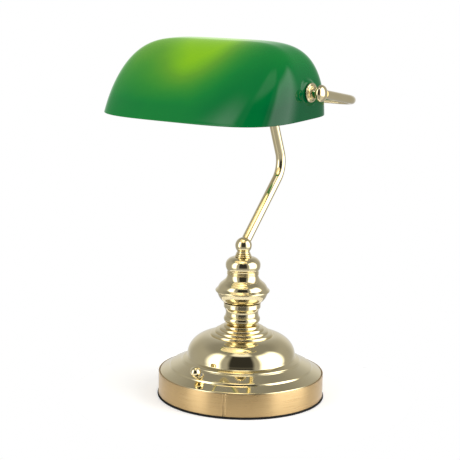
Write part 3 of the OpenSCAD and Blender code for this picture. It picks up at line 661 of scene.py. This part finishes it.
def bowlOutline(z, h):
    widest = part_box("column_bowl")[1].x / mm
    edge = z + 12.5
    lower, top, vase = widest - column["bowlLip"], column["bowlTop"], column["vase"]
    return [*arc((vase - 3.2, edge + 3), (lower - vase + 3.2, 15.5), -72, -16, 20), (widest - 0.4, edge - 1),
            *arc((widest - 0.9, edge), (0.9, 0.9), -50, 50, 10), (lower, edge + 1.9), (widest - 2.1, edge + 2.5),
            *arc((top - 3, edge - 0.8), (widest - top + 1.1, h - 11.9), 22, 62, 16),
            (top + 0.6, z + h - 0.6), (top - 0.1, z + h)]


def bellOutline(z, h):
    flare, tall, over = column["bellFlare"], h + 5, 0.8
    start = 180 + math.degrees(math.asin((h + over) / tall))
    stop = 180 + math.degrees(math.asin(over / tall))
    return arc((15.5 + flare, z + h + over), (flare, tall), start, stop, 20)


def ringOutline(z, h):
    widest, bead = 16.0, h / 4
    groove = widest - 0.6
    return [(groove, z), *arc((widest - bead, z + bead), (bead, bead * 0.8), -80, 80, 12), (groove, z + h / 2),
            *arc((widest - bead, z + h - bead), (bead, bead * 0.8), -80, 80, 12), (groove, z + h)]


def shoulderOutline(z, h):
    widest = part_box("column_shoulder")[1].x / mm
    middle, crest = z + column["shoulderPole"], 8.2
    return [(15.4, z), *arc((widest - 4, middle), (4, column["shoulderPole"]), -56, 0, 12),
            *arc((crest, middle + 0.4), (widest - crest, h - column["shoulderPole"] - 0.4), 6, 84, 24),
            (crest + 1, z + h)]


def collarOutline(z, h):
    neckHeight, beads, neck = 1.3, 3, 6.3
    bead = (h - neckHeight) / beads
    outline = []
    for i in range(beads):
        outline.append((neck + 1.2 - 0.7 * i, z + bead * i))
        outline += arc((neck + 1.3 - 0.7 * i, z + bead * (i + 0.5)), (0.9, bead / 2.3), -80, 80, 12)
    return [*outline, (neck - 0.1, z + h - neckHeight), (neck, z + h)]


columnPiece("column_vase", "columnVase", vaseOutline)
columnPiece("column_bowl", "columnBowl", bowlOutline)
columnPiece("column_bell", "columnBell", bellOutline)
columnPiece("column_ring", "columnRing", ringOutline, 0.12)
columnPiece("column_shoulder", "columnShoulder", shoulderOutline)
columnPiece("column_collar", "columnCollar", collarOutline, 0.12)
print("column done")


# ---- stem and yoke: paths in the lamp's middle plane and in the yoke's plane ----

stem = dict(lean=42.6, lower=82.0, bend=26.0, upperLean=22.0, upper=28.5, sweep=115.0, endLean=40.0, start=4.6,
            radius=5.0, sides=48)
yoke = dict(radius=4.0, bend=28.0, rise=9.3, armStart=5.95, sides=48)
ball = dict(radius=8.3, neck=6.3)
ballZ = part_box("column_collar")[1].z / mm + math.sqrt(ball["radius"] ** 2 - ball["neck"] ** 2)
tubes, rings, teeth = tubeTree(), ringTree(), toothTree()


def leaned(point, lean, distance):
    a = math.radians(lean)
    return Vector((0, point.y + distance * math.sin(a), point.z + distance * math.cos(a)))


def stemPath():
    start = Vector((0, 0, ballZ))
    points = [leaned(start, stem["lean"], stem["start"]), leaned(start, stem["lean"], stem["lower"])]
    centre = leaned(points[-1], stem["lean"] - 90, stem["bend"])
    for k in range(1, 41):
        lean = stem["lean"] + (-stem["upperLean"] - stem["lean"]) * k / 40
        points.append(leaned(centre, lean + 90, stem["bend"]))
    points.append(leaned(points[-1], -stem["upperLean"], stem["upper"]))
    centre = leaned(points[-1], -stem["upperLean"] - 90, stem["sweep"])
    for k in range(1, 25):
        lean = stem["upperLean"] + (stem["endLean"] - stem["upperLean"]) * k / 24
        points.append(leaned(centre, 90 - lean, stem["sweep"]))
    return points


def finialBall():
    # a ball with a short straight neck at its foot
    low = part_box("column_collar")[1].z / mm
    angle = math.degrees(math.asin((low - ballZ) / ball["radius"]))
    outline = [(0, low), *arc((0, ballZ), (ball["radius"], ball["radius"]), angle, 90, 48)]
    outline[-1] = (0, ballZ + ball["radius"])
    piece = spun("finialBall", outline, (0, 0, 0), upward, "polished_brass", 128, 0.2)
    settle(piece, "stand", "polished_brass", "finial_ball")


def stemTube():
    inputs = {"Tube radius": stem["radius"] * mm, "Sides": stem["sides"], "Finish": finishes["polished_brass"]}
    piece = grown("stemTube", tubes, inputs, stemPath())
    piece.data.set_sharp_from_angle(angle=math.radians(40))
    settle(piece, "stand", "polished_brass", "stem_tube")


def yokeTube():
    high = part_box("yoke_tube")[1]
    half = high.x / mm - yoke["radius"]
    rise = math.radians(yoke["rise"])
    # the back bar lies where the yoke's box ends
    reach = (high.y / mm - yoke["radius"] - pivot.y) / math.cos(rise)
    flat = [(half, yoke["armStart"])]
    for k in range(25):
        a = math.radians(90 * k / 24)
        flat.append((half - yoke["bend"] * (1 - math.cos(a)), reach - yoke["bend"] * (1 - math.sin(a))))
    flat += [(-x, y) for x, y in reversed(flat)]
    points = [Vector((x, pivot.y + y * math.cos(rise), pivot.z - y * math.sin(rise))) for x, y in flat]
    inputs = {"Tube radius": yoke["radius"] * mm, "Sides": yoke["sides"], "Finish": finishes["polished_brass"]}
    piece = grown("yokeTube", tubes, inputs, points)
    piece.data.set_sharp_from_angle(angle=math.radians(40))
    settle(piece, "stand", "polished_brass", "yoke_tube")
    return half


finialBall()
stemTube()
yokeHalf = yokeTube()
smoothCopy("yoke_tee", "yokeTee", "stand", 35)
print("stem and yoke done")


# ---- pivots at both ends of the glass ----

rosette = dict(fillet=0.18, hole=5.0)


def pivotBall(side, name, node):
    low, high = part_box(node)
    radius, halfWidth = (high.z - low.z) / 2 / mm, max(high.x, -low.x) / mm - yokeHalf
    outline = arc((0, 0), (radius, halfWidth), -90, 90, 64)
    outline[0], outline[-1] = (0, -halfWidth), (0, halfWidth)
    piece = spun(name, outline, (side * yokeHalf, pivot.y, pivot.z), (side, 0, 0), "polished_brass", 96)
    settle(piece, "stand", "polished_brass", node)


def pivotRosette(side, name, node):
    low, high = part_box(node)
    radius, height = (high.z - low.z) / 2 / mm, (high.x - low.x) / mm
    start = (low.x if side > 0 else high.x) / mm
    boss = rosette["hole"] + 1.2
    flange = 2.2
    outline = [(rosette["hole"], 0), (radius - 1.5, 0), *arc((radius - 0.8, 1), (0.8, 1), -60, 90, 12),
               (radius - 1.7, flange), (boss + 0.5, flange - 0.3), (boss, flange),
               *arc((boss - 0.6, height - 0.6), (0.6, 0.6), 0, 90, 8), (rosette["hole"], height)]
    piece = spun(name, outline, (start, pivot.y, pivot.z), (side, 0, 0), "polished_brass", 96, rosette["fillet"])
    settle(piece, "stand", "polished_brass", node)


for side, word in ((-1, "left"), (1, "right")):
    pivotBall(side, f"{word}YokeBall", f"yoke_knob_{word}")
    pivotRosette(side, f"{word}Rosette", f"rosette_{word}")
    smoothCopy(f"spindle_{word}", f"{word}Spindle", "stand", 35)
    smoothCopy(f"nut_{word}", f"{word}PivotNut", "stand", 30, 0.25)
    smoothCopy(f"washer_{word}", f"{word}PivotWasher", "stand", 30, 0.15)
    smoothCopy(f"gasket_{word}", f"{word}Gasket", "shade", 30, 0.12)
smoothCopy("spindle_cap", "spindleCap", "stand", 40)
print("pivots done")


# ---- glass shade: squared ovals, narrower towards the top ----

glass = dict(half=103.8, front=79.75, back=48.35, height=68.2, wall=3.5, pivotHeight=24.5, tilt=3.25, plan=3.8,
             endPower=(2.24, 5.7), frontPower=(1.066, 1.717), backPower=(2.6, 3.74),
             around=336, levels=58, crownLevels=22, rimSteps=16, rimFillet=0.7, holeRadius=6.1, seatRadius=9.4,
             seatBlend=3.5, seatFrom=80, steepest=82.0)


def narrowed(size, u, powers):
    return size * max(1 - u ** powers[0], 0) ** (1 / powers[1])


def shadeRing(inset, u, z):
    points = []
    for i in range(glass["around"]):
        a = 2 * math.pi * (i + 0.5) / glass["around"]
        c, s = math.cos(a), math.sin(a)
        # polar radius of a unit squared oval, so that the points are spread evenly
        r = (abs(c) ** glass["plan"] + abs(s) ** glass["plan"]) ** (-1 / glass["plan"])
        size, powers = ("front", "frontPower") if s < 0 else ("back", "backPower")
        depth = narrowed(glass[size] - inset, u, glass[powers])
        points.append(Vector((narrowed(glass["half"] - inset, u, glass["endPower"]) * r * c, depth * r * s, z)))
    return points


def shadeLevels():
    levels = [math.sin(math.radians(glass["steepest"] * k / glass["levels"])) for k in range(glass["levels"] + 1)]
    power = glass["endPower"]
    widthHere = max(1 - levels[-1] ** power[0], 0) ** (1 / power[1])
    for k in range(1, glass["crownLevels"]):
        width = widthHere * (1 - k / glass["crownLevels"])
        levels.append((1 - width ** power[1]) ** (1 / power[0]))
    return levels


def flattenSeat(point, seat):
    # a flat round land at each pivot, where the gasket sits
    away = math.hypot(point.y - pivot.y, point.z - pivot.z)
    if abs(point.x) < glass["seatFrom"] or away > glass["seatRadius"] + glass["seatBlend"]:
        return point
    t = min(max((glass["seatRadius"] + glass["seatBlend"] - away) / glass["seatBlend"], 0), 1)
    share = t * t * (3 - 2 * t)
    target = math.copysign(seat, point.x)
    return Vector((point.x + (target - point.x) * share, point.y, point.z))


def shadeGlass():
    wall = glass["wall"]
    levels = shadeLevels()
    rows, kinds = [], []
    for u in reversed(levels):
        if (glass["height"] - wall) * u > glass["rimFillet"]:
            rows.append(shadeRing(wall, u, (glass["height"] - wall) * u))
            kinds.append("inner")
    for k in range(glass["rimSteps"] + 1):
        a = math.pi * k / glass["rimSteps"]
        across = math.copysign(abs(math.cos(a)) ** 0.45, math.cos(a))
        rows.append(shadeRing(wall / 2 * (1 + across), 0, glass["rimFillet"] * (1 - math.sin(a) ** 0.8)))
        kinds.append("rim")
    for u in levels:
        if glass["height"] * u > glass["rimFillet"]:
            rows.append(shadeRing(0, u, glass["height"] * u))
            kinds.append("outer")
    tilt = Matrix.Rotation(math.radians(glass["tilt"]), 3, "X")
    seatOut = narrowed(glass["half"], glass["pivotHeight"] / glass["height"], glass["endPower"]) + 0.3
    seatIn = seatOut - wall - 0.9
    vertices = []
    for row, kind in zip(rows, kinds):
        for point in row:
            placed = pivot + tilt @ (point - Vector((0, 0, glass["pivotHeight"])))
            placed = flattenSeat(placed, seatOut if kind == "outer" else seatIn) if kind != "rim" else placed
            vertices.append(placed)
    n = glass["around"]
    faces = []
    for k in range(len(rows) - 1):
        for i in range(n):
            j = (i + 1) % n
            faces.append((k * n + i, k * n + j, (k + 1) * n + j, (k + 1) * n + i))
    top = (len(rows) - 1) * n
    for start, crown in ((0, glass["height"] - wall), (top, glass["height"])):
        centre = len(vertices)
        vertices.append(pivot + tilt @ Vector((0, 0, crown - glass["pivotHeight"])))
        faces += [(start + i, start + (i + 1) % n, centre) for i in range(n)]
    piece = pieceFrom("glassShade", vertices, faces, [finishes["green_glass"], opalLining])
    innerRows = kinds.index("rim")
    for face in piece.data.polygons:
        if max(face.vertices) < (innerRows + glass["rimSteps"] // 4) * n:
            face.material_index = 1
        if len(face.vertices) == 3 and len(vertices) - 2 in face.vertices:
            face.material_index = 1
    # the holes for the spindles
    for side in (-1, 1):
        drilled(piece, (side * seatOut, pivot.y, pivot.z), (1, 0, 0), glass["holeRadius"], 20)
    piece.data.shade_smooth()
    settle(piece, "shade", "green_glass", "shade")


shadeGlass()
print("shade done")


# ---- lampholder and bulb, along -X from the right spindle ----

holder = dict(ribs=6, ribSpacing=2.4, ribRadius=0.55)
bulb = dict(ball=22.5, neck=11.0)


def holderFrom(node):
    # where a holder piece starts, and how long it is, measured along -X
    low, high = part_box(node)
    return high.x / mm, (high.x - low.x) / mm


def alongHolder(name, node, outline, slotName, fillet=0.4, sides=96):
    start, length = holderFrom(node)
    piece = spun(name, outline(length), (start, pivot.y, pivot.z), (-1, 0, 0), slotName, sides, fillet)
    settle(piece, "stand", slotName, node)


def capOutline(length):
    neck, widest, entry, wall = 11.0, 19.0, 10.0, 2.0
    return [(5, 0), (neck - 1, 0), (neck, 1), (neck, 4), (widest - 1, entry), (widest, length - 2), (widest, length),
            (widest - wall, length), (widest - wall, entry + 1.6), (neck, entry), (5, entry)]


def skirtOutline(length):
    widest, shell = 19.5, 13.5
    return [(shell, 0), (widest, 0), (widest, length - 6), (widest - 2.5, length - 3), (widest - 2.5, length),
            (shell + 1, length), (shell, length - 1)]


def bulbOutline(length):
    radius, neck, wall = bulb["ball"], bulb["neck"], 1.0
    centre = length - radius

    def skin(t):
        return [(neck - t, 0), (neck - t, 7), (neck + 0.3 - t, 11), (neck + 2.6 - t, 18),
                *arc((0, centre), (radius - t, radius - t), -42, 90, 48)]

    outer, inner = skin(0), skin(wall)
    outer[-1], inner[-1] = (0, centre + radius), (0, centre + radius - wall)
    return [*outer, *reversed(inner)]


alongHolder("holderCap", "holder_cap", capOutline, "ivory_plastic")
alongHolder("holderSkirt", "holder_skirt", skirtOutline, "ivory_plastic")
alongHolder("bulbGlass", "bulb_glass", bulbOutline, "opal_glass", 4.0, 128)
smoothCopy("bulb_cap", "bulbCap", "stand", 40)
skirtStart = holderFrom("holder_skirt")[0]
alongX = Matrix.Translation(Vector((skirtStart - 4, pivot.y, pivot.z)) * mm) @ Matrix.Rotation(-math.pi / 2, 4, "Y")
ribs = grown("holderRibs", rings, {
    "Count": holder["ribs"], "Spacing": (0, 0, holder["ribSpacing"] * mm), "Ring radius": 19.5 * mm,
    "Rib radius": holder["ribRadius"] * mm, "Finish": finishes["ivory_plastic"]}, (), alongX)
settle(ribs, "stand", "ivory_plastic")
print("lampholder done")


# ---- switch, square on the tread of the cover ----

switch = dict(lean=21.71, knurls=36, throw=14.0, leverRadius=1.3, ball=5.3, length=11.5)
togglePlace = Vector(joints["switch_toggle"]["pos_m"]) / mm
toggleAxis = Vector(joints["switch_toggle"]["axis"])
outward = (Matrix.Rotation(math.radians(switch["lean"]), 3, toggleAxis) @ upward).normalized()
leverWay = (Matrix.Rotation(math.radians(switch["lean"] + switch["throw"]), 3, toggleAxis) @ upward).normalized()


def switchLever():
    r, stop = switch["leverRadius"], switch["length"] - switch["ball"] + 0.6
    outline = [(0, 0.9), (r, 0.9), (r, stop - 1.6), (r + 0.9, stop - 0.6), (r + 0.9, stop), (0, stop)]
    piece = spun("toggleLever", outline, togglePlace, leverWay, "polished_brass", 48, 0.4)
    settle(piece, "switch_lever", "polished_brass")


def leverBall():
    r = switch["ball"]
    outline = arc((0, switch["length"]), (r, r), -90, 90, 48)
    outline[0], outline[-1] = (0, switch["length"] - r), (0, switch["length"] + r)
    piece = spun("toggleBall", outline, togglePlace, leverWay, "polished_brass", 96)
    settle(piece, "switch_lever", "polished_brass", "lever_ball")


def switchNut():
    seat = togglePlace + outward * 4.5
    outline = [(3.8, 0.3), (4.8, 0.3), (4.8, 1.2), (3.8, 1.2)]
    piece = spun("switchNut", outline, seat, outward, "polished_brass", 96, 0.2)
    settle(piece, "stand", "polished_brass", "switch_nut")
    turn = upward.rotation_difference(outward).to_matrix().to_4x4()
    place = Matrix.Translation((seat + outward * 0.75) * mm) @ turn
    knurl = grown("switchNutKnurl", teeth, {
        "Count": switch["knurls"], "Ring radius": 4.8 * mm, "Tooth size": (0.4 * mm, 0.36 * mm, 0.7 * mm),
        "Finish": finishes["polished_brass"]}, (), place)
    settle(knurl, "stand", "polished_brass")


switchLever()
leverBall()
switchNut()
smoothCopy("switch_bush", "switchBush", "stand", 35)
smoothCopy("cord_grommet", "cordGrommet", "stand", 35, 0.3)
print("switch done")


# ---- stage, light and camera ----

floor = dict(sides=96, radius=0.17, under=0.0002, paleness=0.86, emission=0.45)
camera = dict(place=(0.7682, -1.0770, 0.4169), turn=36.098, pitch=10.612, roll=1.169, lens=105.82)
studio = dict(room=0.40, least=0.04, panel=1.9, top=0.95, backdrop=0.30, below=0.22, ceiling=0.35)


def makeFloor():
    # a pale round sheet, lit a little from below, so that it melts into the white background
    sides, radius, low = floor["sides"], floor["radius"], cadBox[0].z - floor["under"]
    mesh = bpy.data.meshes.new("floor")
    turns = [2 * math.pi * k / sides for k in range(sides)]
    mesh.from_pydata([(radius * math.cos(a), radius * math.sin(a), low) for a in turns], [], [range(sides)])
    material, shader = newMaterial("paleFloor")
    pale = floor["paleness"]
    setShader(shader, Base_Color=(pale, pale, pale, 1), Roughness=0.9, Specular_IOR_Level=0.0,
              Emission_Color=(1, 1, 1, 1), Emission_Strength=floor["emission"])
    mesh.materials.append(material)
    sheet = bpy.data.objects.new("floor", mesh)
    bpy.context.scene.collection.objects.link(sheet)


def makeWorld():
    # a grey room with a soft panel on each side of the camera, a dark gap between them, a lamp above the
    # camera and a paler backdrop; angles are measured from the camera's side, in degrees
    world = bpy.data.worlds.new("studio")
    bpy.context.scene.world = world
    world.use_nodes = True
    world.node_tree.nodes.clear()
    direction = addNode(world, "ShaderNodeTexCoord").outputs["Generated"]
    split = addNode(world, "ShaderNodeSeparateXYZ")
    spin = addNode(world, "ShaderNodeVectorRotate", {"Angle": math.radians(-camera["turn"])}, rotation_type="Z_AXIS")
    join(world, direction, spin.inputs["Vector"])
    join(world, spin.outputs["Vector"], split.inputs["Vector"])
    toCamera = mathOf(world, "MULTIPLY", split.outputs["Y"], -1.0)
    around = mathOf(world, "ARCTAN2", split.outputs["X"], toCamera)
    away = mathOf(world, "ABSOLUTE", around)
    height = mathOf(world, "ARCSINE", split.outputs["Z"])

    def over(value, low, high):
        return rangeOf(world, value, 0.0, 1.0, math.radians(low), math.radians(high), "SMOOTHSTEP")

    def under(value, low, high):
        return rangeOf(world, value, 1.0, 0.0, math.radians(low), math.radians(high), "SMOOTHSTEP")

    def product(first, *others):
        for other in others:
            first = mathOf(world, "MULTIPLY", first, other)
        return first

    def total(first, *others):
        for other in others:
            first = mathOf(world, "ADD", first, other)
        return first

    left = product(over(around, -86, -62), under(around, -54, -40), 1.3)
    right = product(over(around, 36, 52), under(around, 88, 108), 1.5)
    panels = total(left, right)
    soft = product(panels, over(height, -26, -8), under(height, 40, 60), studio["panel"])
    glowBelow = product(panels, under(height, -22, -10), studio["below"])
    gap = product(under(away, 22, 32), over(height, -30, -6), under(height, 50, 58))
    dimmer = mathOf(world, "SUBTRACT", 1.0, product(over(height, 30, 55), studio["ceiling"]))
    room = product(mathOf(world, "SUBTRACT", 1.0, gap), dimmer, studio["room"])
    lamp = product(under(away, 22, 42), over(height, 52, 60), under(height, 72, 86), studio["top"])
    backdrop = product(over(away, 130, 165), over(height, -26, -10), under(height, 8, 34), studio["backdrop"])
    light = total(room, soft, glowBelow, lamp, backdrop, studio["least"])
    seen = addNode(world, "ShaderNodeBackground", {"Color": (1, 1, 1, 1), "Strength": 1.0})
    lit = addNode(world, "ShaderNodeBackground", {"Color": (1, 1, 1, 1)})
    join(world, light, lit.inputs["Strength"])
    mix = addNode(world, "ShaderNodeMixShader")
    join(world, addNode(world, "ShaderNodeLightPath").outputs["Is Camera Ray"], mix.inputs["Fac"])
    join(world, lit.outputs["Background"], mix.inputs[1])
    join(world, seen.outputs["Background"], mix.inputs[2])
    join(world, mix.outputs["Shader"], addNode(world, "ShaderNodeOutputWorld").inputs["Surface"])


def makeCamera():
    turn, pitch, roll = (math.radians(camera[key]) for key in ("turn", "pitch", "roll"))
    right = Vector((math.cos(turn), math.sin(turn), 0))
    forward = Vector((-math.sin(turn) * math.cos(pitch), math.cos(turn) * math.cos(pitch), -math.sin(pitch)))
    above = right.cross(forward)
    rightNow = right * math.cos(roll) + above * math.sin(roll)
    aboveNow = above * math.cos(roll) - right * math.sin(roll)
    data = bpy.data.cameras.new("camera")
    data.lens, data.sensor_width = camera["lens"], 36
    data.clip_start, data.clip_end = 0.01, 50
    seat = bpy.data.objects.new("camera", data)
    axes = Matrix((rightNow, aboveNow, -forward)).transposed().to_4x4()
    seat.matrix_world = Matrix.Translation(camera["place"]) @ axes
    bpy.context.scene.collection.objects.link(seat)
    bpy.context.scene.camera = seat


makeFloor()
makeWorld()
makeCamera()
bpy.context.scene.view_settings.view_transform = "Standard"
print("stage done")
